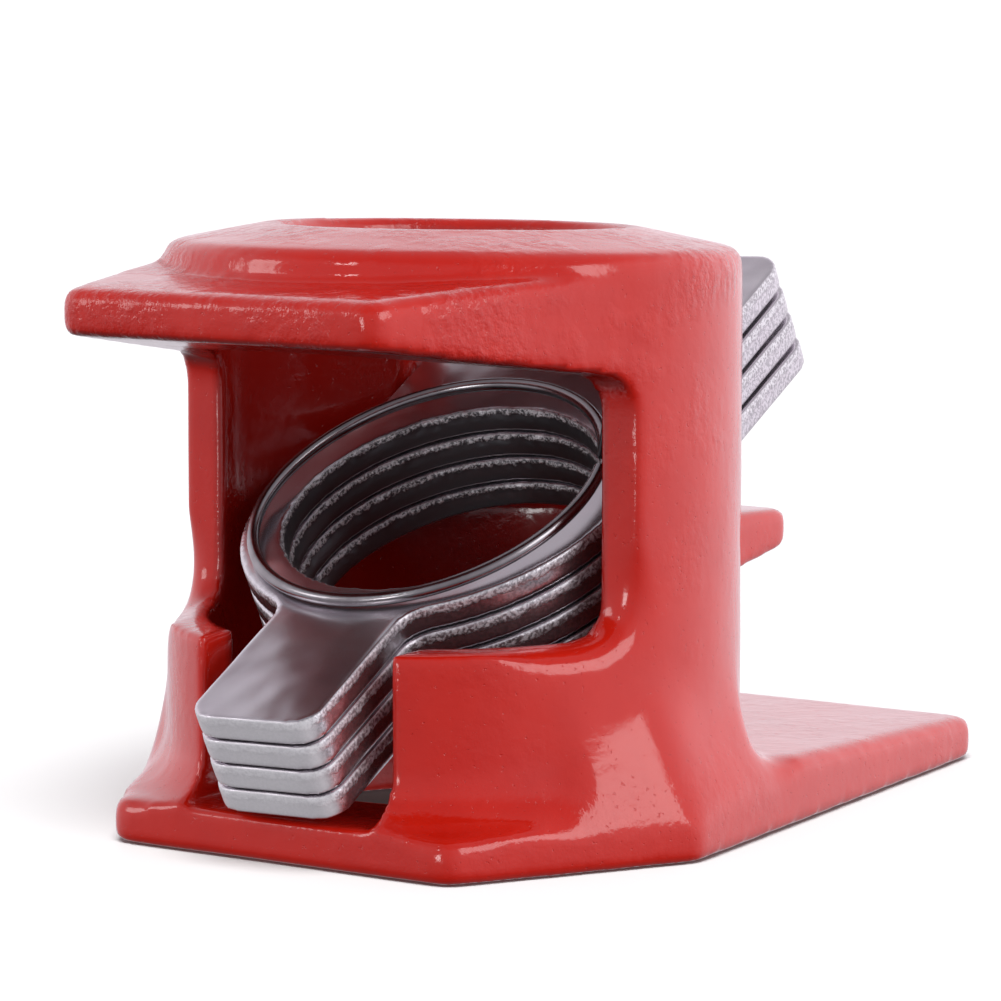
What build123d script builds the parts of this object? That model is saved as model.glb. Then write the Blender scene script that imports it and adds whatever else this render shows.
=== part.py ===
from build123d import *
from math import cos, radians, sin, sqrt
import os

# Sliding tail jaw of a three-quarter inch woodworking pipe clamp, in millimetres.
# The origin is on the pipe axis, in the plane of the flat jaw face that presses on the work.
# +Z runs along the pipe away from the work, -Y is the release side with the thumb ledge,
# and +Y is the long side of the jaw face, where the clutch plates bear on their fulcrum.

# The pipe: 26.9 mm outside, passed with working clearance.
BORE_R = 14.0
PLATE_HOLE_R = 13.75

# Jaw foot: a long six-sided slab.
FOOT_FRONT_Y = -25.0
FOOT_FRONT_HALF = 16.9
FOOT_WIDE_Y = -5.0
FOOT_WIDE_HALF = 27.9
FOOT_REAR_Y = 52.2
FOOT_REAR_HALF = 21.9
FOOT_THIN = 3.8
FOOT_THICK = 6.5
FOOT_RAMP_START_Y = -14.0
FOOT_RAMP_END_Y = 2.0
FOOT_CORNER_R = 2.5
FOOT_EDGE_R = 1.2
SOLE_EDGE_R = 0.7

# Wedges that carry the sides of the foot up into the shell: corners at the foot and at the shell.
FLANK_INNER_X = 17.0
FLANK_FRONT_Y = -13.5
FLANK_REAR_Y = 9.0
FLANK_FOOT = ((23.0, FLANK_FRONT_Y), (FOOT_WIDE_HALF, FOOT_WIDE_Y), (26.2, FLANK_REAR_Y))
FLANK_WALL = ((20.0, FLANK_FRONT_Y), (23.7, FOOT_WIDE_Y), (22.4, FLANK_REAR_Y))
FLANK_TOP_Z = 15.0

# Housing: an upright round shell around the clutch.
SHELL_R = 24.25
SHELL_RIM_Z = 48.8
CROWN_Z = 50.8
CROWN_LEAN = 1.4
CAVITY_R = 20.3
CAVITY_FLOOR_Z = 4.6
CEILING_Z = 45.6
ROOT_FILLET_R = 4.0
RIM_EDGE_R = 1.6

# Thumb ledge at the top of the release side.
LEDGE_FRONT_Y = -32.6
LEDGE_FRONT_HALF = 15.6
LEDGE_ROOT_HALF = 23.2
LEDGE_ROOT_Y = -6.9
LEDGE_FRONT_TOP_Z = 46.2
LEDGE_FRONT_LOW_Z = 42.5
LEDGE_BACK_TOP_Z = 48.6
LEDGE_CORNER_R = 2.0
LEDGE_EDGE_R = 1.3

# Front window between the ledge and the low front wall.
WINDOW_BACK_Y = -7.1
WINDOW_LOW_FRONT_Z = 16.9
WINDOW_LOW_BACK_Z = 18.1
WINDOW_TOP_BACK_Z = 39.0
WINDOW_CORNER_R = 3.0

# Slot in the low front wall, where the release tabs hang out.
TAB_SLOT_HALF = 9.4

# Rear slot, whose lower lip is the fulcrum, and the finger lug below it.
REAR_SLOT_HALF = 15.4
FULCRUM_Z = 25.0
REAR_SLOT_TOP_Z = 42.2
REAR_SLOT_CORNER_R = 1.5
LUG_HALF = 12.0
LUG_TIP_Y = 35.8
LUG_ROOT_LOW_Z = 18.6
LUG_TIP_LOW_Z = 20.7
LUG_TIP_TOP_Z = 23.9
LUG_CORNER_R = 2.5
LUG_EDGE_R = 0.8

# Clutch plates: four alike, loosely fanned about the tips of their release tabs.
PLATE_COUNT = 4
PLATE_THICK = 2.25
PLATE_PITCH = 2.43
PLATE_R = 17.6
TAB_HALF = 6.05
TAB_REACH = 32.4
TAB_CORNER_R = 2.2
NECK_R = 3.0
TAIL_HALF = 13.8
TAIL_REACH = 40.2
TAIL_CORNER_R = 3.0
HOLE_CENTRE_Y = -1.95
HOLE_CENTRE_Z = 27.73
STACK_TILT = 27.5
FAN_STEP = 0.15
TOP_PLATE_TURN = 2.8
TURN_STEP = 0.25

# Spring: round wire, one coil on the top plate and one under the ceiling.
WIRE_R = 0.55
COIL_R = 15.35
COIL_OFFSET = -1.3
COIL_LEAN = 3.0
SPRING_GAP = 0.15
RISER_START = 25.0
RISER_END = 20.0

# How near a corner has to be to its intended place to be picked.
SNAP = 0.1

# How far solids overlap each other, and how far a large cutter reaches past what it cuts.
MARGIN = 1.0
REACH = 5.0


def mirrored(points):
    """Close an outline given by its +X half."""
    return list(points) + [(-x, y) for x, y in reversed(points)]


def box_between(x_low, x_high, y_low, y_high, z_low, z_high):
    size = (x_high - x_low, y_high - y_low, z_high - z_low)
    centre = ((x_low + x_high) / 2, (y_low + y_high) / 2, (z_low + z_high) / 2)
    return Pos(*centre) * Box(*size)


def is_at(vertex, spots):
    """Tell whether a vertex of a flat outline lies on one of the given spots."""
    return any(abs(vertex.X - x) < SNAP and abs(vertex.Y - y) < SNAP for x, y in spots)


def rims_of(solid, faces):
    """Edges where one of the given faces meets a face outside them."""
    return [e for e in solid.edges() if sum(e in f.edges() for f in faces) == 1]


def side_prism(points, half_width, corner_r=None, corners=()):
    """Extrude an outline in Y and Z to both sides of the middle plane."""
    outline = make_face(Polyline([(y, z) for y, z in points], close=True))
    if corner_r:
        picked = [v for v in outline.vertices() if is_at(v, corners)]
        outline = fillet(picked, corner_r)
    plane = Plane(origin=(0, 0, 0), x_dir=(0, 1, 0), z_dir=(1, 0, 0))
    return extrude(plane * outline, half_width, both=True)


def foot_outline():
    half = [
        (FOOT_FRONT_HALF, FOOT_FRONT_Y),
        (FOOT_WIDE_HALF, FOOT_WIDE_Y),
        (FOOT_REAR_HALF, FOOT_REAR_Y),
    ]
    return make_face(Polyline(mirrored(half), close=True))


def make_foot():
    outline = foot_outline()
    rounded = fillet(outline.vertices(), FOOT_CORNER_R)
    slab = extrude(rounded, FOOT_THICK)
    profile = [
        (FOOT_FRONT_Y - MARGIN, -MARGIN),
        (FOOT_REAR_Y + MARGIN, -MARGIN),
        (FOOT_REAR_Y + MARGIN, FOOT_THIN),
        (FOOT_RAMP_END_Y, FOOT_THICK),
        (FOOT_RAMP_START_Y, FOOT_THIN),
        (FOOT_FRONT_Y - MARGIN, FOOT_THIN),
    ]
    foot = slab & side_prism(profile, FOOT_WIDE_HALF + MARGIN)
    tops = [f for f in foot.faces() if f.normal_at().Z > 0.5]
    foot = fillet(rims_of(foot, tops), FOOT_EDGE_R)
    soles = [f for f in foot.faces() if f.normal_at().Z < -0.5]
    return fillet(rims_of(foot, soles), SOLE_EDGE_R)


def make_root_fillet():
    """Hollow fillet between the round shell and the top of the foot, kept inside the foot's outline."""
    low = FOOT_THIN - MARGIN
    high = FOOT_THIN + ROOT_FILLET_R
    outer = SHELL_R + ROOT_FILLET_R
    middle = ROOT_FILLET_R * (1 - sin(radians(45)))
    inner = SHELL_R - MARGIN
    profile = (
        Polyline((inner, high), (inner, low), (outer, low), (outer, FOOT_THIN))
        + ThreePointArc((outer, FOOT_THIN), (SHELL_R + middle, FOOT_THIN + middle), (SHELL_R, high))
        + Line((SHELL_R, high), (inner, high))
    )
    ring = revolve(Plane.XZ * make_face(profile), Axis.Z)
    return ring & extrude(foot_outline(), high)


def make_flanks():
    """Where the foot is widest its sides run up into the shell: one ruled wedge on each side."""
    low = [(FLANK_INNER_X, FLANK_FRONT_Y + MARGIN), *FLANK_FOOT, (FLANK_INNER_X, FLANK_REAR_Y)]
    high = [(FLANK_INNER_X, FLANK_FRONT_Y + MARGIN), *FLANK_WALL, (FLANK_INNER_X, FLANK_REAR_Y)]
    bottom = Pos(0, 0, FOOT_THIN - MARGIN) * make_face(Polyline(low, close=True))
    top = Pos(0, 0, FLANK_TOP_Z) * make_face(Polyline(high, close=True))
    outline = foot_outline()
    rounded = fillet(outline.vertices(), FOOT_CORNER_R)
    wedge = loft([bottom, top], ruled=True) & extrude(rounded, FLANK_TOP_Z)
    return wedge + mirror(wedge, about=Plane.YZ)


def make_ledge():
    half = [
        (LEDGE_FRONT_HALF, LEDGE_FRONT_Y),
        (LEDGE_ROOT_HALF, LEDGE_ROOT_Y),
        (LEDGE_ROOT_HALF - REACH, 0),
    ]
    outline = make_face(Polyline(mirrored(half), close=True))
    front = [v for v in outline.vertices() if v.Y < LEDGE_FRONT_Y + SNAP]
    prism = extrude(fillet(front, LEDGE_CORNER_R), SHELL_RIM_Z)
    profile = [
        (LEDGE_FRONT_Y - MARGIN, LEDGE_FRONT_LOW_Z),
        (0, WINDOW_TOP_BACK_Z - 2 * MARGIN),
        (0, LEDGE_BACK_TOP_Z),
        (LEDGE_FRONT_Y - MARGIN, LEDGE_FRONT_TOP_Z),
    ]
    ledge = prism & side_prism(profile, LEDGE_ROOT_HALF + REACH)
    flats = [f for f in ledge.faces() if abs(f.normal_at().Z) > 0.5]
    rims = [e for e in rims_of(ledge, flats) if e.center().Y < LEDGE_ROOT_Y]
    return fillet(rims, LEDGE_EDGE_R)


def make_lug():
    plan_half = [(LUG_HALF + MARGIN, CAVITY_R - REACH), (LUG_HALF, LUG_TIP_Y)]
    outline = make_face(Polyline(mirrored(plan_half), close=True))
    tips = [v for v in outline.vertices() if v.Y > LUG_TIP_Y - SNAP]
    prism = extrude(fillet(tips, LUG_CORNER_R), FULCRUM_Z)
    profile = [
        (CAVITY_R - REACH, LUG_ROOT_LOW_Z - MARGIN),
        (LUG_TIP_Y, LUG_TIP_LOW_Z),
        (LUG_TIP_Y, LUG_TIP_TOP_Z),
        (CAVITY_R - REACH, FULCRUM_Z),
    ]
    lug = prism & side_prism(profile, LUG_HALF + REACH)
    flats = [f for f in lug.faces() if abs(f.normal_at().Z) > 0.5]
    rims = [e for e in rims_of(lug, flats) if e.center().Y > SHELL_R + LUG_EDGE_R]
    return fillet(rims, LUG_EDGE_R)


def make_drum():
    """Round shell under a shallow conical crown, which leans up a little towards the front."""
    slope = (CROWN_Z - SHELL_RIM_Z) / (SHELL_R - BORE_R)
    cone_height = CROWN_Z - SHELL_RIM_Z + slope * REACH
    cone_low_z = CROWN_Z - cone_height
    cone = Pos(0, 0, CROWN_Z - cone_height / 2) * Cone(SHELL_R + REACH, BORE_R, cone_height)
    base = Pos(0, 0, cone_low_z / 2 - REACH) * Cylinder(SHELL_R + REACH, cone_low_z + 2 * REACH)
    pivot = Pos(0, 0, CROWN_Z)
    cap = pivot * Rot(-CROWN_LEAN, 0, 0) * pivot.inverse() * (cone + base)
    top = CROWN_Z + REACH
    drum = Pos(0, 0, top / 2) * Cylinder(SHELL_R, top) & cap
    rim = [e for e in drum.edges() if is_on_rim(e)]
    return fillet(rim, RIM_EDGE_R)


def is_on_rim(edge):
    """Tell whether an edge is the one where the shell's wall meets the crown."""
    point = edge.position_at(0.25)
    on_wall = abs(sqrt(point.X**2 + point.Y**2) - SHELL_R) < SNAP
    return on_wall and edge.center().Z > SHELL_RIM_Z / 2 and edge.length > SHELL_R


def make_casting():
    body = make_foot() + make_drum() + make_root_fillet() + make_flanks() + make_ledge() + make_lug()
    cavity_height = CEILING_Z - CAVITY_FLOOR_Z
    body -= Pos(0, 0, CAVITY_FLOOR_Z + cavity_height / 2) * Cylinder(CAVITY_R, cavity_height)
    body -= Pos(0, 0, CROWN_Z / 2) * Cylinder(BORE_R, CROWN_Z + REACH)
    front_y = LEDGE_FRONT_Y - REACH
    slope = (LEDGE_FRONT_LOW_Z - WINDOW_TOP_BACK_Z) / (WINDOW_BACK_Y - LEDGE_FRONT_Y)
    back_low = (WINDOW_BACK_Y, WINDOW_LOW_BACK_Z)
    back_top = (WINDOW_BACK_Y, WINDOW_TOP_BACK_Z)
    profile = [
        (front_y, WINDOW_LOW_FRONT_Z),
        back_low,
        back_top,
        (front_y, WINDOW_TOP_BACK_Z + slope * (WINDOW_BACK_Y - front_y)),
    ]
    body -= side_prism(profile, SHELL_R + REACH, WINDOW_CORNER_R, (back_low, back_top))
    slot_half = TAB_SLOT_HALF
    body -= box_between(-slot_half, slot_half, front_y, 0, FOOT_THIN, WINDOW_LOW_BACK_Z)
    rear_half = REAR_SLOT_HALF
    rear = box_between(-rear_half, rear_half, 0, SHELL_R + REACH, FULCRUM_Z, REAR_SLOT_TOP_Z)
    body -= fillet(rear.edges().filter_by(Axis.Y), REAR_SLOT_CORNER_R)
    return body


def plate_outline():
    disc = Circle(PLATE_R)
    tab = Pos(0, -TAB_REACH / 2) * Rectangle(2 * TAB_HALF, TAB_REACH)
    tail = Pos(0, TAIL_REACH / 2) * Rectangle(2 * TAIL_HALF, TAIL_REACH)
    outline = disc + tab + tail
    neck_y = -sqrt(PLATE_R**2 - TAB_HALF**2)
    tips = [(-TAB_HALF, -TAB_REACH), (TAB_HALF, -TAB_REACH)]
    necks = [(-TAB_HALF, neck_y), (TAB_HALF, neck_y)]
    tails = [(-TAIL_HALF, TAIL_REACH), (TAIL_HALF, TAIL_REACH)]
    for spots, radius in ((tips, TAB_CORNER_R), (necks, NECK_R), (tails, TAIL_CORNER_R)):
        corners = [v for v in outline.vertices() if is_at(v, spots)]
        outline = fillet(corners, radius)
    return outline - Circle(PLATE_HOLE_R)


def tab_tip_position(index):
    """Where the top edge of one plate's release tab lies, in Y and Z."""
    tilt = radians(STACK_TILT)
    y = HOLE_CENTRE_Y - TAB_REACH * cos(tilt) + index * PLATE_PITCH * sin(tilt)
    z = HOLE_CENTRE_Z - TAB_REACH * sin(tilt) - index * PLATE_PITCH * cos(tilt)
    return y, z


def make_plate(index):
    """Place plate number index, counted from the top: turn in its plane, then tilt about its tab tip."""
    blank = extrude(plate_outline(), -PLATE_THICK)
    turned = Rot(0, 0, TOP_PLATE_TURN - index * TURN_STEP) * blank
    tilted = Rot(STACK_TILT - index * FAN_STEP, 0, 0) * Pos(0, TAB_REACH, 0) * turned
    y, z = tab_tip_position(index)
    return Pos(0, y, z) * tilted


def coil_point(angle):
    """A point of a flat coil about its own centre, at an angle in degrees from +X."""
    return Pos(COIL_R * cos(radians(angle)), COIL_R * sin(radians(angle)), 0)


def make_spring():
    """Lower coil lying on the top plate, upper coil under the ceiling, one straight riser."""
    lift = WIRE_R + SPRING_GAP
    on_plate = Pos(0, HOLE_CENTRE_Y, HOLE_CENTRE_Z) * Rot(STACK_TILT, 0, 0)
    rise = COIL_R * sin(radians(COIL_LEAN))
    low_frame = on_plate * Pos(0, COIL_OFFSET, lift + rise) * Rot(COIL_LEAN, 0, 0)
    high_frame = Pos(0, 0, CEILING_Z - lift)
    coil = Torus(COIL_R, WIRE_R)
    start = (low_frame * coil_point(RISER_START)).position
    end = (high_frame * coil_point(RISER_END)).position
    path = Line(start, end)
    riser = sweep(Plane(origin=start, z_dir=path % 0) * Circle(WIRE_R), path=path)
    return low_frame * coil + high_frame * coil + riser


def main():
    os.makedirs("parts", exist_ok=True)
    export_step(make_casting(), "parts/jaw_casting.step")
    for index in range(PLATE_COUNT):
        export_step(make_plate(index), f"parts/clutch_plate_{index + 1}.step")
    export_step(make_spring(), "parts/clutch_spring.step")


main()
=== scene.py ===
"""Sliding tail jaw of a pipe clamp, dressed for a studio picture.

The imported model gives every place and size. This script adds the cast skin of the jaw, the
stamped clutch plates and the spring wire, and lights them on a plain pale floor.
"""

from __future__ import annotations

import logging
import math
from dataclasses import dataclass, field
from enum import Enum
from typing import Any

import bmesh
import bpy
from mathutils import Matrix, Vector, noise


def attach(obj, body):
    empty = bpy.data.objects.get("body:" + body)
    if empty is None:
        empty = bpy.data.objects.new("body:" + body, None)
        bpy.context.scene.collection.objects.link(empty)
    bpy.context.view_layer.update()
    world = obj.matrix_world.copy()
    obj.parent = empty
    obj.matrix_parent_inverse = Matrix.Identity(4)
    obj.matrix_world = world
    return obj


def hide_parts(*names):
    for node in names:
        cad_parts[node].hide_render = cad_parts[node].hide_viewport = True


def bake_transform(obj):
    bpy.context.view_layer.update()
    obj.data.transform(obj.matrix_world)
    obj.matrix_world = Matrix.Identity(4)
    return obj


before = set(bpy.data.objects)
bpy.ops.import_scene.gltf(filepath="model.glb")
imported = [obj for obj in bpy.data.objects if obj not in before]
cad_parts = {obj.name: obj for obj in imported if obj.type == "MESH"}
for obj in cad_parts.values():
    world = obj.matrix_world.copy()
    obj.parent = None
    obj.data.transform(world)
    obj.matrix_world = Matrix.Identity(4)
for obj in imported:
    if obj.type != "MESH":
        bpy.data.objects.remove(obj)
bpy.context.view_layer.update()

MM = 0.001

log = logging.getLogger("tail_jaw")

Rgb = tuple[float, float, float]
Band = tuple[float, float]
Stops = tuple[Band, ...]


class Slot(Enum):
    """Material slots of the record."""

    ENAMEL = "red_enamel"
    STEEL = "bright_steel"
    WIRE = "spring_wire"


class Mark(Enum):
    """Number that a piece's mesh carries at each of its points."""

    ROUGH = "rough_cast"
    PAINTED_SHADE = "painted_shade"
    DEPTH = "depth"
    HOLE = "hole_wall"
    SHEAR = "sheared_edge"
    RIM = "rim"


class Math(Enum):
    """Math node operations that the finishes use."""

    ADD = "ADD"
    SUBTRACT = "SUBTRACT"
    MULTIPLY = "MULTIPLY"
    MAXIMUM = "MAXIMUM"


class Wire:
    """A number on an output socket, which Python's operators can work on."""

    def __init__(self, graph: Graph, socket: bpy.types.NodeSocket) -> None:
        """Hold the socket.

        Args:
            graph: The graph that the socket belongs to.
            socket: The output socket.
        """
        self.graph = graph
        self.socket = socket

    def _with(self, kind: Math, first: Any, second: Any) -> Wire:
        """Add one Math node.

        Args:
            kind: Which operation.
            first: First number or wire.
            second: Second number or wire.

        Returns:
            The node's output.
        """
        return self.graph.add("ShaderNodeMath", {"operation": kind.value}, {0: first, 1: second})

    def __add__(self, other: Any) -> Wire:
        """Sum.

        Args:
            other: The other number or wire.

        Returns:
            The result.
        """
        return self._with(Math.ADD, self, other)

    def __radd__(self, other: Any) -> Wire:
        """Sum, reflected.

        Args:
            other: The other number or wire.

        Returns:
            The result.
        """
        return self._with(Math.ADD, other, self)

    def __sub__(self, other: Any) -> Wire:
        """Difference.

        Args:
            other: The other number or wire.

        Returns:
            The result.
        """
        return self._with(Math.SUBTRACT, self, other)

    def __rsub__(self, other: Any) -> Wire:
        """Difference, reflected.

        Args:
            other: The other number or wire.

        Returns:
            The result.
        """
        return self._with(Math.SUBTRACT, other, self)

    def __mul__(self, other: Any) -> Wire:
        """Product.

        Args:
            other: The other number or wire.

        Returns:
            The result.
        """
        return self._with(Math.MULTIPLY, self, other)

    def __rmul__(self, other: Any) -> Wire:
        """Product, reflected.

        Args:
            other: The other number or wire.

        Returns:
            The result.
        """
        return self._with(Math.MULTIPLY, other, self)

    def high(self, other: Any) -> Wire:
        """The larger of two.

        Args:
            other: The other number or wire.

        Returns:
            The result.
        """
        return self._with(Math.MAXIMUM, self, other)


class Graph:
    """Node tree of one material or world."""

    def __init__(self, owner: Any) -> None:
        """Start an empty tree.

        Args:
            owner: The material or world whose tree this is.
        """
        owner.use_nodes = True
        self.tree = owner.node_tree
        self.tree.nodes.clear()

    def add(
        self,
        kind: str,
        settings: dict[str, Any] | None = None,
        sockets: dict[Any, Any] | None = None,
        out: Any = 0,
    ) -> Wire:
        """Add any node.

        Args:
            kind: The node's type.
            settings: Its own settings, set before its sockets are filled. "stops" fills a ramp.
            sockets: Values or wires for its inputs.
            out: Which output comes back.

        Returns:
            The chosen output, or the first input's owner for a node with none.
        """
        node = self.tree.nodes.new(kind)
        for name, value in (settings or {}).items():
            if name == "stops":
                self._fill_ramp(node, value)
            else:
                setattr(node, name, value)
        for key, value in (sockets or {}).items():
            if isinstance(value, Wire):
                self.tree.links.new(value.socket, node.inputs[key])
            else:
                node.inputs[key].default_value = value
        return Wire(self, node.outputs[out] if node.outputs else node.inputs[0])

    @staticmethod
    def _fill_ramp(node: bpy.types.Node, stops: Any) -> None:
        """Fill a ramp's stops.

        Args:
            node: The ramp node.
            stops: Pairs of place and grey level or colour.
        """
        ramp = node.color_ramp
        for index, (place, value) in enumerate(stops):
            element = ramp.elements[index] if index < 2 else ramp.elements.new(place)
            element.position = place
            colour = (value, value, value) if isinstance(value, (int, float)) else value
            element.color = (*colour, 1.0)

    def place(self) -> Wire:
        """Object coordinates of the piece.

        Returns:
            The coordinates.
        """
        return self.add("ShaderNodeTexCoord", out="Object")

    def noise(self, grain: float, detail: float = 2.0, rough: float = 0.5) -> Wire:
        """Fractal noise from 0 to 1.

        Args:
            grain: Size of its main features in metres.
            detail: Octaves.
            rough: How strong the small octaves are.

        Returns:
            The noise.
        """
        sockets = {"Vector": self.place(), "Scale": 1.0 / grain, "Detail": detail, "Roughness": rough}
        return self.add("ShaderNodeTexNoise", {"noise_dimensions": "3D"}, sockets)

    def ramp(self, value: Wire, stops: Stops) -> Wire:
        """Turn a number into another through stops.

        Args:
            value: The number.
            stops: Pairs of place and level.

        Returns:
            The new number.
        """
        return self.add("ShaderNodeValToRGB", {"stops": stops}, {"Fac": value})

    def blend(self, share: Any, low: Any, high: Any) -> Wire:
        """Mix two colours.

        Args:
            share: How much of the second.
            low: First colour.
            high: Second colour.

        Returns:
            The colour.
        """
        paint = {6: self._four(low), 7: self._four(high), 0: share}
        return self.add("ShaderNodeMix", {"data_type": "RGBA"}, paint, out=2)

    @staticmethod
    def _four(colour: Any) -> Any:
        """Colour with an alpha, or the wire itself.

        Args:
            colour: The colour or wire.

        Returns:
            What a colour socket takes.
        """
        return colour if isinstance(colour, Wire) else (*colour, 1.0)

    def mark(self, which: Mark) -> Wire:
        """A number that the mesh carries.

        Args:
            which: Which number.

        Returns:
            The number.
        """
        return self.add("ShaderNodeAttribute", {"attribute_name": which.value}, out="Fac")

    def bump(self, height: Wire, distance: float, strength: float = 1.0) -> Wire:
        """Relief.

        Args:
            height: Relief from 0 to 1.
            distance: Depth of the relief in metres.
            strength: Share of it.

        Returns:
            The normal.
        """
        sockets = {"Height": height, "Distance": distance, "Strength": strength}
        return self.add("ShaderNodeBump", None, sockets, out="Normal")

    def surface(self, sockets: dict[str, Any]) -> None:
        """End in a Principled shader.

        Args:
            sockets: Its inputs.
        """
        shader = self.add("ShaderNodeBsdfPrincipled", None, sockets)
        self.add("ShaderNodeOutputMaterial", None, {"Surface": shader})


@dataclass(frozen=True)
class RedEnamel:
    """Thick glossy red enamel, dipped over rough cast iron."""

    red: Rgb = (0.78, 0.022, 0.009)
    deep_red: Rgb = (0.62, 0.010, 0.004)
    # painted shade: darker red for the inside of the housing and the faces under the ledge
    painted_shade_red: Rgb = (0.30, 0.006, 0.003)
    gloss: float = 0.12
    coat: float = 0.25
    coat_gloss: float = 0.05
    glass: float = 1.5
    peel: float = 1.1 * MM
    sag: float = 6.0 * MM
    speck: float = 0.45 * MM
    patch: float = 9.0 * MM
    relief: float = 0.30 * MM
    relief_share: float = 0.8

    def make(self) -> bpy.types.Material:
        """Build the enamel.

        Returns:
            The material.
        """
        material = bpy.data.materials.new("red_enamel")
        graph = Graph(material)
        sag = graph.noise(self.sag, 3.0, 0.55)
        peel = graph.noise(self.peel, 3.0, 0.6)
        speck = graph.noise(self.speck, 2.0, 0.6)
        rough_cast = graph.mark(Mark.ROUGH)
        cloud = graph.noise(self.patch, 3.0)
        patch = graph.ramp(cloud, ((0.46, 0.08), (0.60, 1.0))) * rough_cast
        colour = graph.blend(sag, self.deep_red, self.red)
        lumps = graph.ramp(peel, ((0.50, 0.0), (0.58, 1.0)))
        colour = graph.blend(lumps * patch * 0.45, colour, self.deep_red)
        pits = graph.ramp(speck, ((0.27, 1.0), (0.33, 0.0)))
        colour = graph.blend(pits * 0.4, colour, self.deep_red)
        # painted shade: the inside of the housing and the faces that look down under the ledge turn
        # darker red
        colour = graph.blend(graph.mark(Mark.PAINTED_SHADE), colour, self.painted_shade_red)
        height = sag * 0.30 + peel * (patch * 0.9 + 0.06)
        height = height + speck * (patch * 0.08 + 0.015) - pits * 0.12
        graph.surface(
            {
                "Base Color": colour,
                "Roughness": self.gloss + 0.16 * lumps * patch,
                "IOR": self.glass,
                "Coat Weight": self.coat,
                "Coat Roughness": self.coat_gloss,
                "Coat IOR": self.glass,
                "Normal": graph.bump(height, self.relief, self.relief_share),
            }
        )
        return material


@dataclass(frozen=True)
class BrightZinc:
    """Zinc plated stamping: bright faces, torn hole walls and sheared edges, with painted shade on the
    hole walls and side faces and a painted highlight on the sheared ends.
    """

    bright: Rgb = (0.82, 0.81, 0.83)
    warm: Rgb = (0.62, 0.56, 0.62)
    # painted shade: dark grey for the hole walls and the side faces between the stacked plates
    painted_shade_grey: Rgb = (0.16, 0.16, 0.17)
    torn: Rgb = (0.93, 0.93, 0.95)
    gloss: float = 0.20
    cloud: float = 6.0 * MM
    wave: float = 5.5 * MM
    ragged: float = 1.4 * MM
    grain: float = 0.28 * MM
    fine: float = 0.16 * MM
    tear_depth: float = 0.26
    scrape_depth: float = 0.36
    relief: float = 0.12 * MM
    relief_share: float = 0.9

    def make(self) -> bpy.types.Material:
        """Build the plating.

        Returns:
            The material.
        """
        material = bpy.data.materials.new("bright_zinc")
        graph = Graph(material)
        cloud = graph.noise(self.cloud, 3.0, 0.6)
        wave = graph.noise(self.wave, 1.0, 0.4)
        grain = graph.noise(self.grain, 3.0, 0.65)
        fine = graph.noise(self.fine, 2.0, 0.6)
        depth = graph.mark(Mark.DEPTH)
        hole = graph.mark(Mark.HOLE)
        shear = graph.mark(Mark.SHEAR)
        edge = depth + (graph.noise(self.ragged, 4.0, 0.75) - 0.5) * 0.50
        tear = self.down_to(graph, edge, self.tear_depth, 0.04) * hole
        crumb = graph.ramp(grain, ((0.44, 0.0), (0.56, 1.0)))
        colour = graph.blend(cloud, self.warm, self.bright)
        # painted shade: the hole walls go dark grey
        colour = graph.blend(hole, colour, self.painted_shade_grey)
        colour = graph.blend(tear * crumb, colour, self.torn)
        scrape = self.down_to(graph, edge, self.scrape_depth, 0.06) * graph.mark(Mark.RIM)
        # painted shade on the side faces between the plates, broken up by the crumb grain
        colour = graph.blend(graph.mark(Mark.RIM) * (0.55 - crumb * 0.35), colour, self.painted_shade_grey)
        colour = graph.blend(scrape * crumb * 0.7, colour, self.torn)
        # painted highlight: the sheared tab and tail ends are matte sheared steel, and their near
        # white colour stands in for the floor's reflection
        colour = graph.blend(shear * 0.8, colour, self.torn)
        rough = self.gloss + cloud * 0.08 + hole * 0.18
        rough = rough + tear * 0.12 + scrape * 0.16 + shear * 0.18
        metal = 0.96 - shear * 0.86 - tear * crumb * 0.5 - scrape * crumb * 0.4
        height = tear * grain + scrape * grain * 0.5 + wave * 2.6
        height = height + shear * fine * 0.12 + hole * fine * 0.12
        graph.surface(
            {
                "Base Color": colour,
                "Metallic": metal,
                "Roughness": rough,
                "Normal": graph.bump(height, self.relief, self.relief_share),
            }
        )
        return material

    @staticmethod
    def down_to(graph: Graph, depth: Wire, end: float, softness: float) -> Wire:
        """Mark the part of an edge that lies above a depth.

        Args:
            graph: The material's graph.
            depth: Depth below the top face.
            end: The depth where the part ends.
            softness: Half the width of its border.

        Returns:
            1 above the depth and 0 below it.
        """
        return graph.ramp(depth, ((end - softness, 1.0), (end + softness, 0.0)))


@dataclass(frozen=True)
class DrawnWire:
    """Hard drawn spring wire, dark and polished along its length."""

    steel: Rgb = (0.42, 0.40, 0.42)
    dark: Rgb = (0.20, 0.18, 0.19)
    gloss: float = 0.16
    cloud: float = 2.5 * MM
    fine: float = 0.12 * MM
    relief: float = 0.01 * MM
    relief_share: float = 0.6

    def make(self) -> bpy.types.Material:
        """Build the wire's finish.

        Returns:
            The material.
        """
        material = bpy.data.materials.new("drawn_wire")
        graph = Graph(material)
        cloud = graph.noise(self.cloud, 3.0, 0.6)
        fine = graph.noise(self.fine, 2.0, 0.6)
        graph.surface(
            {
                "Base Color": graph.blend(cloud, self.dark, self.steel),
                "Metallic": 1.0,
                "Roughness": self.gloss + cloud * 0.12,
                "Normal": graph.bump(fine, self.relief, self.relief_share),
            }
        )
        return material


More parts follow.
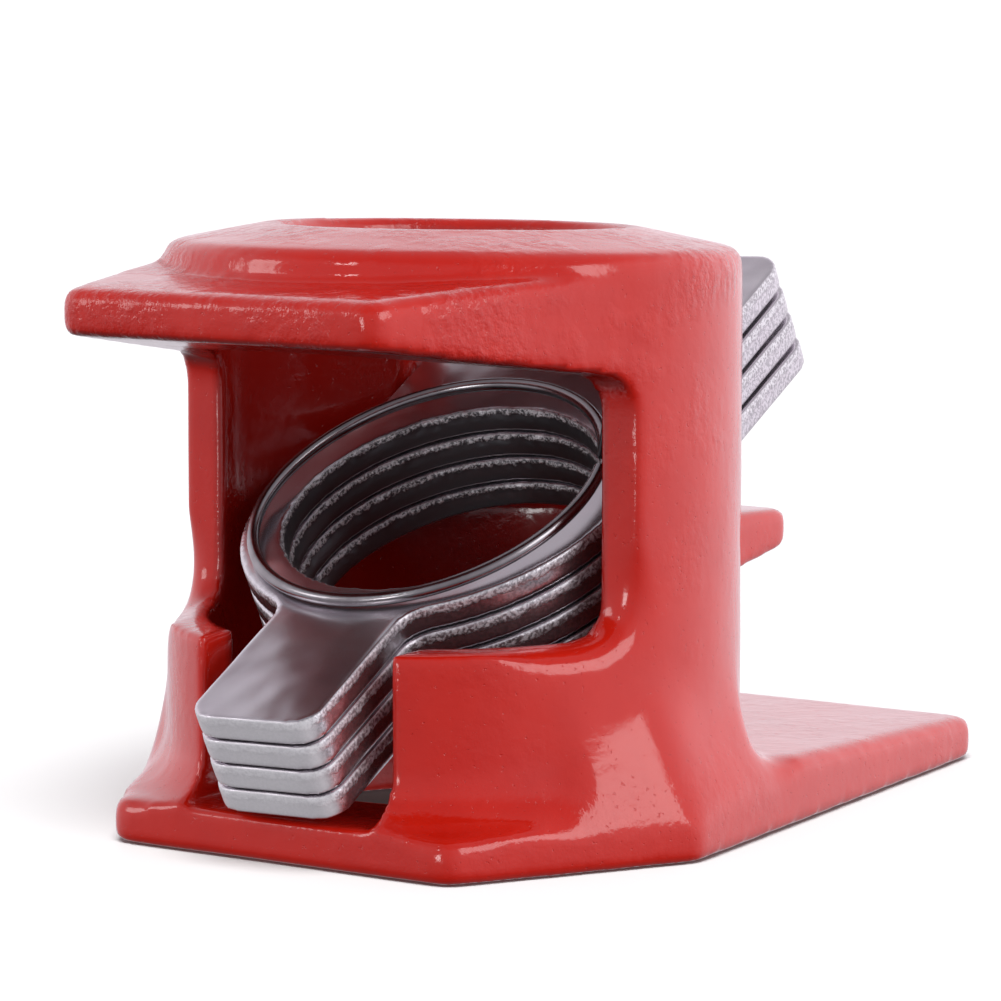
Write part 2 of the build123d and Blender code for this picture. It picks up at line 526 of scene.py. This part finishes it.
@dataclass(frozen=True)
class PaleFloor:
    """Seamless white studio board, with a painted shadow disc where the jaw stands on it."""

    white: Rgb = (0.31, 0.31, 0.31)
    off_white: Rgb = (0.30, 0.30, 0.30)
    # painted shadow: colour of the dark disc under the jaw
    shade: Rgb = (0.004, 0.001, 0.001)
    painted_shadow_disc: float = 15.0 * MM
    tone: float = 120.0 * MM
    gloss: float = 0.6
    glow: float = 0.02

    def make(self) -> bpy.types.Material:
        """Build the board's finish.

        Returns:
            The material.
        """
        material = bpy.data.materials.new("pale_floor")
        graph = Graph(material)
        tone = graph.noise(self.tone, 2.0)
        place = {0: graph.place()}
        off = graph.add("ShaderNodeVectorMath", {"operation": "LENGTH"}, place, out="Value")
        # painted shadow: the board goes dark within this radius of the jaw's axis, which shows through
        # the bore
        painted_shadow_disc = graph.ramp(off * (0.5 / self.painted_shadow_disc), ((0.49, 1.0), (0.55, 0.0)))
        board = graph.blend(tone, self.off_white, self.white)
        graph.surface(
            {
                "Base Color": graph.blend(painted_shadow_disc, board, self.shade),
                "Roughness": self.gloss,
                "Emission Color": (1.0, 1.0, 1.0, 1.0),
                "Emission Strength": self.glow,
            }
        )
        return material


def copied(node: str, name: str) -> bpy.types.Object:
    """Copy a CAD node's mesh into a new object, with its loose triangles joined.

    Args:
        node: The CAD node.
        name: Name of the new piece.

    Returns:
        The new piece, without a material.
    """
    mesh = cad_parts[node].data.copy()
    mesh.name = name
    mesh.materials.clear()
    shape = bmesh.new()
    shape.from_mesh(mesh)
    bmesh.ops.remove_doubles(shape, verts=shape.verts, dist=0.002 * MM)
    shape.to_mesh(mesh)
    shape.free()
    piece = bpy.data.objects.new(name, mesh)
    bpy.context.scene.collection.objects.link(piece)
    return piece


def skinned(piece: bpy.types.Object, cell: float, smoothing: int) -> None:
    """Give a piece an even skin of small faces with softened edges.

    Args:
        piece: The piece, whose mesh is replaced.
        cell: Size of a face.
        smoothing: How many rounds soften the edges.
    """
    core = bpy.data.objects.new("core", piece.data.copy())
    bpy.context.scene.collection.objects.link(core)
    remesh = piece.modifiers.new("skin", "REMESH")
    remesh.mode = "VOXEL"
    remesh.voxel_size = cell
    hug = piece.modifiers.new("hug", "SHRINKWRAP")
    hug.target = core
    hug.wrap_method = "NEAREST_SURFACEPOINT"
    soften = piece.modifiers.new("soften", "SMOOTH")
    soften.factor = 0.5
    soften.iterations = smoothing
    settle(piece)
    bpy.data.objects.remove(core)


def settle(piece: bpy.types.Object) -> None:
    """Apply a piece's modifiers to its mesh.

    Args:
        piece: The piece.
    """
    graph = bpy.context.evaluated_depsgraph_get()
    mesh = bpy.data.meshes.new_from_object(piece.evaluated_get(graph))
    old = piece.data
    piece.modifiers.clear()
    piece.data = mesh
    mesh.name = piece.name
    bpy.data.meshes.remove(old)
    mesh.polygons.foreach_set("use_smooth", [True] * len(mesh.polygons))
    mesh.update()


def eased(value: float, start: float, end: float) -> float:
    """Go smoothly from 0 at start to 1 at end.

    Args:
        value: The number.
        start: Where it begins.
        end: Where it is done.

    Returns:
        The share from 0 to 1.
    """
    share = min(max((value - start) / (end - start), 0.0), 1.0)
    return share * share * (3.0 - 2.0 * share)


def write_mark(mesh: bpy.types.Mesh, which: Mark, numbers: list[float]) -> None:
    """Write one number onto each point of a mesh.

    Args:
        mesh: The mesh.
        which: The number's name.
        numbers: One number for each point.
    """
    attribute = mesh.attributes.new(which.value, "FLOAT", "POINT")
    attribute.data.foreach_set("value", numbers)


def dressed(piece: bpy.types.Object, material: bpy.types.Material, body: str) -> None:
    """Give a piece its finish and the body that it rides on.

    Args:
        piece: The piece.
        material: Its finish.
        body: The body.
    """
    piece.data.materials.clear()
    piece.data.materials.append(material)
    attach(piece, body)
    log.info("%s: %d faces on %s", piece.name, len(piece.data.polygons), body)


@dataclass
class JawCasting:
    """The cast jaw: foot, housing, ledge and lug in one skin."""

    finish: RedEnamel = field(default_factory=RedEnamel)
    cell: float = 0.5 * MM
    smoothing: int = 9
    melting: int = 110
    swell: float = 0.10 * MM
    swell_grain: float = 9.0 * MM
    bore: float = 14.0 * MM
    crown: float = 50.8 * MM
    lean: float = 1.4
    mouth: float = 1.3 * MM
    mouth_steps: int = 5
    flat: float = 0.5
    near: float = 0.05 * MM
    flank_side: Band = (15.0 * MM, 19.0 * MM)
    flank_front: Band = (-19.0 * MM, -14.0 * MM)
    flank_rear: Band = (9.0 * MM, 15.0 * MM)
    flank_foot: Band = (2.6 * MM, 5.0 * MM)
    flank_top: Band = (20.0 * MM, 26.0 * MM)
    flank_skin: Band = (21.3 * MM, 22.8 * MM)
    hollow_wall: Band = (20.3 * MM, 21.5 * MM)
    hollow_floor: Band = (3.0 * MM, 5.0 * MM)
    hollow_top: Band = (47.8 * MM, 49.8 * MM)
    facing_down: Band = (0.3, 0.8)
    under_ledge: Band = (30.0 * MM, 36.0 * MM)
    rough_rise: Band = (30.0 * MM, 42.0 * MM)
    rough_low: float = 0.25

    def build(self) -> bpy.types.Object:
        """Build the casting.

        Returns:
            The piece.
        """
        piece = copied("jaw_casting", "cast_jaw")
        self.round_mouth(piece)
        skinned(piece, self.cell, self.smoothing)
        self.melt_flanks(piece)
        self.hammer(piece)
        self.mark_zones(piece)
        dressed(piece, self.finish.make(), "casting")
        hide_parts("jaw_casting")
        return piece

    def round_mouth(self, piece: bpy.types.Object) -> None:
        """Round the mouth of the crown's hole.

        Args:
            piece: The casting, before it gets its skin.
        """
        shape = bmesh.new()
        shape.from_mesh(piece.data)
        bmesh.ops.dissolve_limit(
            shape, angle_limit=math.radians(self.flat), verts=shape.verts, edges=shape.edges
        )
        rim = [edge for edge in shape.edges if all(self.on_mouth(vertex.co) for vertex in edge.verts)]
        bmesh.ops.bevel(
            shape,
            geom=rim,
            offset=self.mouth,
            offset_type="OFFSET",
            affect="EDGES",
            segments=self.mouth_steps,
            profile=0.5,
            material=-1,
        )
        shape.to_mesh(piece.data)
        shape.free()

    def on_mouth(self, point: Vector) -> bool:
        """Tell whether a point lies on the upper edge of the crown's hole.

        Args:
            point: The point.

        Returns:
            True if it does.
        """
        off = abs(math.hypot(point.x, point.y) - self.bore)
        level = self.crown - point.y * math.tan(math.radians(self.lean))
        return off < self.near and abs(point.z - level) < self.near

    def melt_flanks(self, piece: bpy.types.Object) -> None:
        """Run the housing into the sides of the foot without a crease.

        Args:
            piece: The casting with its skin.
        """
        group = piece.vertex_groups.new(name="flanks")
        for vertex in piece.data.vertices:
            point = vertex.co
            share = eased(abs(point.x), *self.flank_side)
            share *= eased(point.z, *self.flank_foot) * (1.0 - eased(point.z, *self.flank_top))
            share *= eased(point.y, *self.flank_front) * (1.0 - eased(point.y, *self.flank_rear))
            share *= eased(math.hypot(point.x, point.y), *self.flank_skin)
            if share > 0.0:
                group.add([vertex.index], share, "REPLACE")
        melt = piece.modifiers.new("melt", "SMOOTH")
        melt.factor = 0.5
        melt.iterations = self.melting
        melt.vertex_group = group.name
        settle(piece)

    def hammer(self, piece: bpy.types.Object) -> None:
        """Lower the skin here and there, as sand casting leaves it.

        Args:
            piece: The casting.
        """
        normals = [vertex.normal.copy() for vertex in piece.data.vertices]
        for vertex, normal in zip(piece.data.vertices, normals):
            hollow = 0.5 + 0.5 * noise.noise(vertex.co / self.swell_grain)
            vertex.co -= normal * (self.swell * hollow)
        piece.data.update()

    def mark_zones(self, piece: bpy.types.Object) -> None:
        """Write onto the mesh where the sand left it rough and where painted shade darkens the enamel,
        inside the housing and under the ledge.

        Args:
            piece: The casting.
        """
        roughs, painted_shades = [], []
        for vertex in piece.data.vertices:
            point = vertex.co
            # painted shade: share of darker red inside the housing and on faces that look down under
            # the ledge
            hollow = 1.0 - eased(math.hypot(point.x, point.y), *self.hollow_wall)
            hollow *= 1.0 - eased(point.z, *self.hollow_top)
            hollow *= eased(point.z, *self.hollow_floor)
            under = eased(-vertex.normal.z, *self.facing_down) * eased(point.z, *self.under_ledge)
            painted_shades.append(max(hollow, under))
            rise = eased(point.z, *self.rough_rise)
            roughs.append(self.rough_low + (1.0 - self.rough_low) * rise)
        write_mark(piece.data, Mark.ROUGH, roughs)
        write_mark(piece.data, Mark.PAINTED_SHADE, painted_shades)


@dataclass
class ClutchPlate:
    """One stamped plate of the clutch."""

    index: int
    finish: bpy.types.Material
    thick: float = 2.25 * MM
    pitch: float = 2.43 * MM
    reach: float = 32.4 * MM
    tail: float = 40.2 * MM
    centre: tuple[float, float] = (-1.95 * MM, 27.73 * MM)
    tilt: float = 27.5
    fan: float = 0.15
    turn: float = 2.8
    turn_step: float = 0.25
    cell: float = 0.27 * MM
    smoothing: int = 7
    tear: float = 0.16 * MM
    tear_grain: float = 0.7 * MM
    tear_depth: Band = (0.2, 0.6)
    wall_band: Band = (13.9 * MM, 14.2 * MM)
    end_band: Band = (-1.6 * MM, -0.5 * MM)
    upright: Band = (0.25, 0.75)

    def placing(self) -> Matrix:
        """Matrix from the flat plate to its place in the stack.

        Returns:
            The matrix.
        """
        lean = math.radians(self.tilt)
        y = self.centre[0] - self.reach * math.cos(lean) + self.index * self.pitch * math.sin(lean)
        z = self.centre[1] - self.reach * math.sin(lean) - self.index * self.pitch * math.cos(lean)
        leaned = Matrix.Rotation(math.radians(self.tilt - self.index * self.fan), 4, "X")
        turned = Matrix.Rotation(math.radians(self.turn - self.index * self.turn_step), 4, "Z")
        return Matrix.Translation((0, y, z)) @ leaned @ Matrix.Translation((0, self.reach, 0)) @ turned

    def build(self) -> bpy.types.Object:
        """Build the plate.

        Returns:
            The piece.
        """
        number = self.index + 1
        piece = copied(f"clutch_plate_{number}", f"friction_plate_{number}")
        placing = self.placing()
        piece.data.transform(placing.inverted())
        skinned(piece, self.cell, self.smoothing)
        self.tear_hole(piece)
        self.mark_zones(piece)
        piece.data.transform(placing)
        piece.data.update()
        dressed(piece, self.finish, f"plate_{number}")
        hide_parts(f"clutch_plate_{number}")
        return piece

    def is_wall(self, point: Vector) -> float:
        """How far a point of the flat plate belongs to the hole's wall.

        Args:
            point: The point.

        Returns:
            A share from 0 to 1.
        """
        return 1.0 - eased(math.hypot(point.x, point.y), *self.wall_band)

    def is_end(self, point: Vector) -> float:
        """How far a point of the flat plate belongs to the end of its tab or its tail.

        Args:
            point: The point.

        Returns:
            A share from 0 to 1.
        """
        tab = eased(-point.y - self.reach, *self.end_band)
        tail = eased(point.y - self.tail, *self.end_band)
        return max(tab, tail)

    def tear_hole(self, piece: bpy.types.Object) -> None:
        """Roughen the upper part of the hole's wall, where the punch tore it.

        Args:
            piece: The flat plate.
        """
        seed = Vector((0.0, 0.0, 7.0 * self.index))
        for vertex in piece.data.vertices:
            point = vertex.co
            wall = self.is_wall(point)
            if wall <= 0.0:
                continue
            depth = -point.z / self.thick
            torn = wall * (1.0 - eased(depth, *self.tear_depth))
            rough = noise.fractal(point / self.tear_grain + seed, 0.8, 2.0, 3)
            outward = Vector((point.x, point.y, 0.0)).normalized()
            vertex.co = point + outward * (self.tear * torn * (0.6 + 0.8 * rough))

    def mark_zones(self, piece: bpy.types.Object) -> None:
        """Write depth, hole wall and sheared edge onto the mesh.

        Args:
            piece: The flat plate.
        """
        mesh = piece.data
        depths, walls, shears, rims = [], [], [], []
        for vertex in mesh.vertices:
            point = vertex.co
            upright = 1.0 - eased(abs(vertex.normal.z), *self.upright)
            wall = self.is_wall(point)
            depths.append(-point.z / self.thick)
            walls.append(wall * upright)
            rims.append((1.0 - wall) * upright)
            shears.append(rims[-1] * self.is_end(point))
        write_mark(mesh, Mark.DEPTH, depths)
        write_mark(mesh, Mark.HOLE, walls)
        write_mark(mesh, Mark.SHEAR, shears)
        write_mark(mesh, Mark.RIM, rims)


@dataclass
class ClutchStack:
    """The four plates."""

    count: int = 4
    finish: BrightZinc = field(default_factory=BrightZinc)

    def build(self) -> list[bpy.types.Object]:
        """Build every plate.

        Returns:
            The pieces, from the top down.
        """
        zinc = self.finish.make()
        return [ClutchPlate(index, zinc).build() for index in range(self.count)]


@dataclass
class ReturnSpring:
    """Wire spring between the ceiling of the housing and the top plate."""

    finish: DrawnWire = field(default_factory=DrawnWire)
    wire: float = 0.55 * MM
    coil: float = 15.35 * MM
    offset: float = -1.3 * MM
    lean: float = 3.0
    gap: float = 0.15 * MM
    ceiling: float = 45.6 * MM
    centre: tuple[float, float] = (-1.95 * MM, 27.73 * MM)
    tilt: float = 27.5
    riser_start: float = 25.0
    riser_end: float = 20.0
    wound: float = 352.0
    steps: int = 96

    def build(self) -> bpy.types.Object:
        """Build the spring.

        Returns:
            The piece.
        """
        curve = bpy.data.curves.new("spring_path", "CURVE")
        curve.dimensions = "3D"
        curve.bevel_depth = self.wire
        curve.bevel_resolution = 6
        curve.use_fill_caps = True
        points = self.path()
        spline = curve.splines.new("POLY")
        spline.points.add(len(points) - 1)
        for knot, point in zip(spline.points, points):
            knot.co = (*point, 1.0)
        helper = bpy.data.objects.new("spring_helper", curve)
        bpy.context.scene.collection.objects.link(helper)
        graph = bpy.context.evaluated_depsgraph_get()
        mesh = bpy.data.meshes.new_from_object(helper.evaluated_get(graph))
        bpy.data.objects.remove(helper)
        mesh.polygons.foreach_set("use_smooth", [True] * len(mesh.polygons))
        piece = bpy.data.objects.new("return_spring", mesh)
        bpy.context.scene.collection.objects.link(piece)
        mesh.materials.append(self.finish.make())
        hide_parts("clutch_spring")
        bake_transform(piece)
        log.info("return_spring: %d faces between casting and plate_1", len(mesh.polygons))
        return piece

    def path(self) -> list[Vector]:
        """Follow the wire from the end of its lower coil to the end of its upper one.

        Returns:
            Points along the wire's middle.
        """
        lift = self.wire + self.gap
        rise = self.coil * math.sin(math.radians(self.lean))
        low = Matrix.Translation((0, self.centre[0], self.centre[1]))
        low = low @ Matrix.Rotation(math.radians(self.tilt), 4, "X")
        low = low @ Matrix.Translation((0, self.offset, lift + rise))
        low = low @ Matrix.Rotation(math.radians(self.lean), 4, "X")
        high = Matrix.Translation((0, 0, self.ceiling - lift))
        shares = [step / self.steps for step in range(self.steps + 1)]
        points = [low @ self.around(self.riser_start + self.wound * (1 - share)) for share in shares]
        points += [high @ self.around(self.riser_end - self.wound * share) for share in shares]
        return points

    def around(self, angle: float) -> Vector:
        """Point of a flat coil.

        Args:
            angle: Degrees from +X.

        Returns:
            The point.
        """
        turn = math.radians(angle)
        return Vector((self.coil * math.cos(turn), self.coil * math.sin(turn), 0.0))


@dataclass(frozen=True)
class SoftBox:
    """One square lamp that looks at the jaw."""

    name: str
    place: Rgb
    size: float
    power: float

    def hang(self, target: Vector) -> None:
        """Hang the box.

        Args:
            target: Where it looks.
        """
        lamp = bpy.data.lights.new(self.name, "AREA")
        lamp.size = self.size
        lamp.energy = self.power
        holder = bpy.data.objects.new(self.name, lamp)
        bpy.context.scene.collection.objects.link(holder)
        holder.location = self.place
        aim = target - Vector(self.place)
        holder.rotation_euler = aim.to_track_quat("-Z", "Y").to_euler()


@dataclass
class Studio:
    """Floor, soft light and camera."""

    azimuth: float = 34.64
    pitch: float = 6.57
    stand_off: float = 369.38 * MM
    aside: float = 3.95 * MM
    height: float = 69.68 * MM
    lens: float = 158.72
    floor_half: float = 60.0
    floor_drop: float = 0.05 * MM
    near_clip: float = 10.0 * MM
    sensor: float = 36.0
    floor_light: float = 10.5
    floor_spread: float = 0.6
    floor_aim: Rgb = (-0.34, 0.49, -1.0)
    wall: Stops = ((0.0, 0.50), (0.30, 0.60), (0.55, 0.85), (0.75, 1.0))
    belt: Stops = ((0.16, 0.12), (0.40, 0.75), (0.50, 1.0), (0.76, 1.0), (0.88, 0.50), (1.0, 0.45))
    right_boost: float = 0.50
    tint: Rgb = (0.98, 0.93, 1.0)
    target: Rgb = (0.0, 0.0, 0.025)
    boxes: tuple[SoftBox, ...] = (
        SoftBox("right_box", (0.85, -0.05, 0.45), 0.5, 2.2),
        SoftBox("left_box", (-0.85, -0.75, 0.40), 0.35, 1.2),
        SoftBox("near_strip", (-0.25, -1.2, 0.75), 0.12, 0.5),
        SoftBox("low_box", (-0.10, -1.1, 0.06), 0.25, 1.3),
    )
    floor: PaleFloor = field(default_factory=PaleFloor)

    def build(self) -> None:
        """Build the studio."""
        self.make_floor()
        self.make_sky()
        self.make_lamps()
        self.make_camera()
        log.info("studio: floor, sky, lamps and camera")

    def make_floor(self) -> None:
        """Lay the board under the jaw."""
        shape = bmesh.new()
        bmesh.ops.create_grid(shape, x_segments=8, y_segments=8, size=self.floor_half)
        mesh = bpy.data.meshes.new("studio_floor")
        shape.to_mesh(mesh)
        shape.free()
        board = bpy.data.objects.new("studio_floor", mesh)
        bpy.context.scene.collection.objects.link(board)
        mesh.transform(Matrix.Translation((0, 0, -self.floor_drop)))
        mesh.materials.append(self.floor.make())
        board.visible_diffuse = False
        board.visible_glossy = False
        board.visible_shadow = False
        self.light_floor(board)

    def light_floor(self, board: bpy.types.Object) -> None:
        """Light the board with a broad sun that shines on nothing else.

        Args:
            board: The board.
        """
        lit = bpy.data.collections.new("lit_floor")
        lit.objects.link(board)
        sun = bpy.data.lights.new("floor_sun", "SUN")
        sun.energy = self.floor_light
        sun.angle = self.floor_spread
        holder = bpy.data.objects.new("floor_sun", sun)
        holder.rotation_euler = Vector(self.floor_aim).to_track_quat("-Z", "Y").to_euler()
        bpy.context.scene.collection.objects.link(holder)
        holder.light_linking.receiver_collection = lit

    def make_sky(self) -> None:
        """Surround the jaw with a white wall, bright behind it and dim above and below."""
        world = bpy.data.worlds.new("studio")
        bpy.context.scene.world = world
        graph = Graph(world)
        turn = math.radians(self.azimuth)
        ahead = self.share_along(graph, (-math.sin(turn), math.cos(turn), 0.0))
        right = self.share_along(graph, (math.cos(turn), math.sin(turn), 0.0))
        up = self.share_along(graph, (0.0, 0.0, 1.0))
        depth = graph.ramp(ahead * 0.5 + 0.5, self.wall)
        level = graph.ramp(up * 0.5 + 0.5, self.belt)
        strength = (depth + right.high(0.0) * self.right_boost) * level
        sockets = {"Color": (*self.tint, 1.0), "Strength": strength}
        background = graph.add("ShaderNodeBackground", None, sockets)
        graph.add("ShaderNodeOutputWorld", None, {"Surface": background})

    @staticmethod
    def share_along(graph: Graph, axis: Rgb) -> Wire:
        """How far the looked-at direction goes along an axis.

        Args:
            graph: The world's graph.
            axis: The axis.

        Returns:
            A number from -1 to 1.
        """
        direction = graph.add("ShaderNodeTexCoord", out="Generated")
        settings = {"operation": "DOT_PRODUCT"}
        return graph.add("ShaderNodeVectorMath", settings, {0: direction, 1: axis}, out="Value")

    def make_lamps(self) -> None:
        """Hang the soft boxes."""
        for box in self.boxes:
            box.hang(Vector(self.target))

    def make_camera(self) -> None:
        """Stand the camera in front of the release side."""
        turn = math.radians(self.azimuth)
        right = Vector((math.cos(turn), math.sin(turn), 0.0))
        ahead = Vector((-math.sin(turn), math.cos(turn), 0.0))
        data = bpy.data.cameras.new("camera")
        data.lens = self.lens
        data.sensor_width = self.sensor
        data.clip_start = self.near_clip
        camera = bpy.data.objects.new("camera", data)
        bpy.context.scene.collection.objects.link(camera)
        camera.location = ahead * -self.stand_off + right * self.aside + Vector((0, 0, self.height))
        slope = math.radians(self.pitch)
        look = ahead * math.cos(slope) + Vector((0, 0, -math.sin(slope)))
        camera.rotation_euler = look.to_track_quat("-Z", "Y").to_euler()
        bpy.context.scene.camera = camera


def main() -> None:
    """Build the jaw and its studio."""
    logging.basicConfig(level=logging.INFO, format="%(name)s: %(message)s")
    bpy.context.scene.view_settings.view_transform = "Standard"
    JawCasting().build()
    ClutchStack().build()
    ReturnSpring().build()
    Studio().build()


if __name__ == "__main__":
    main()
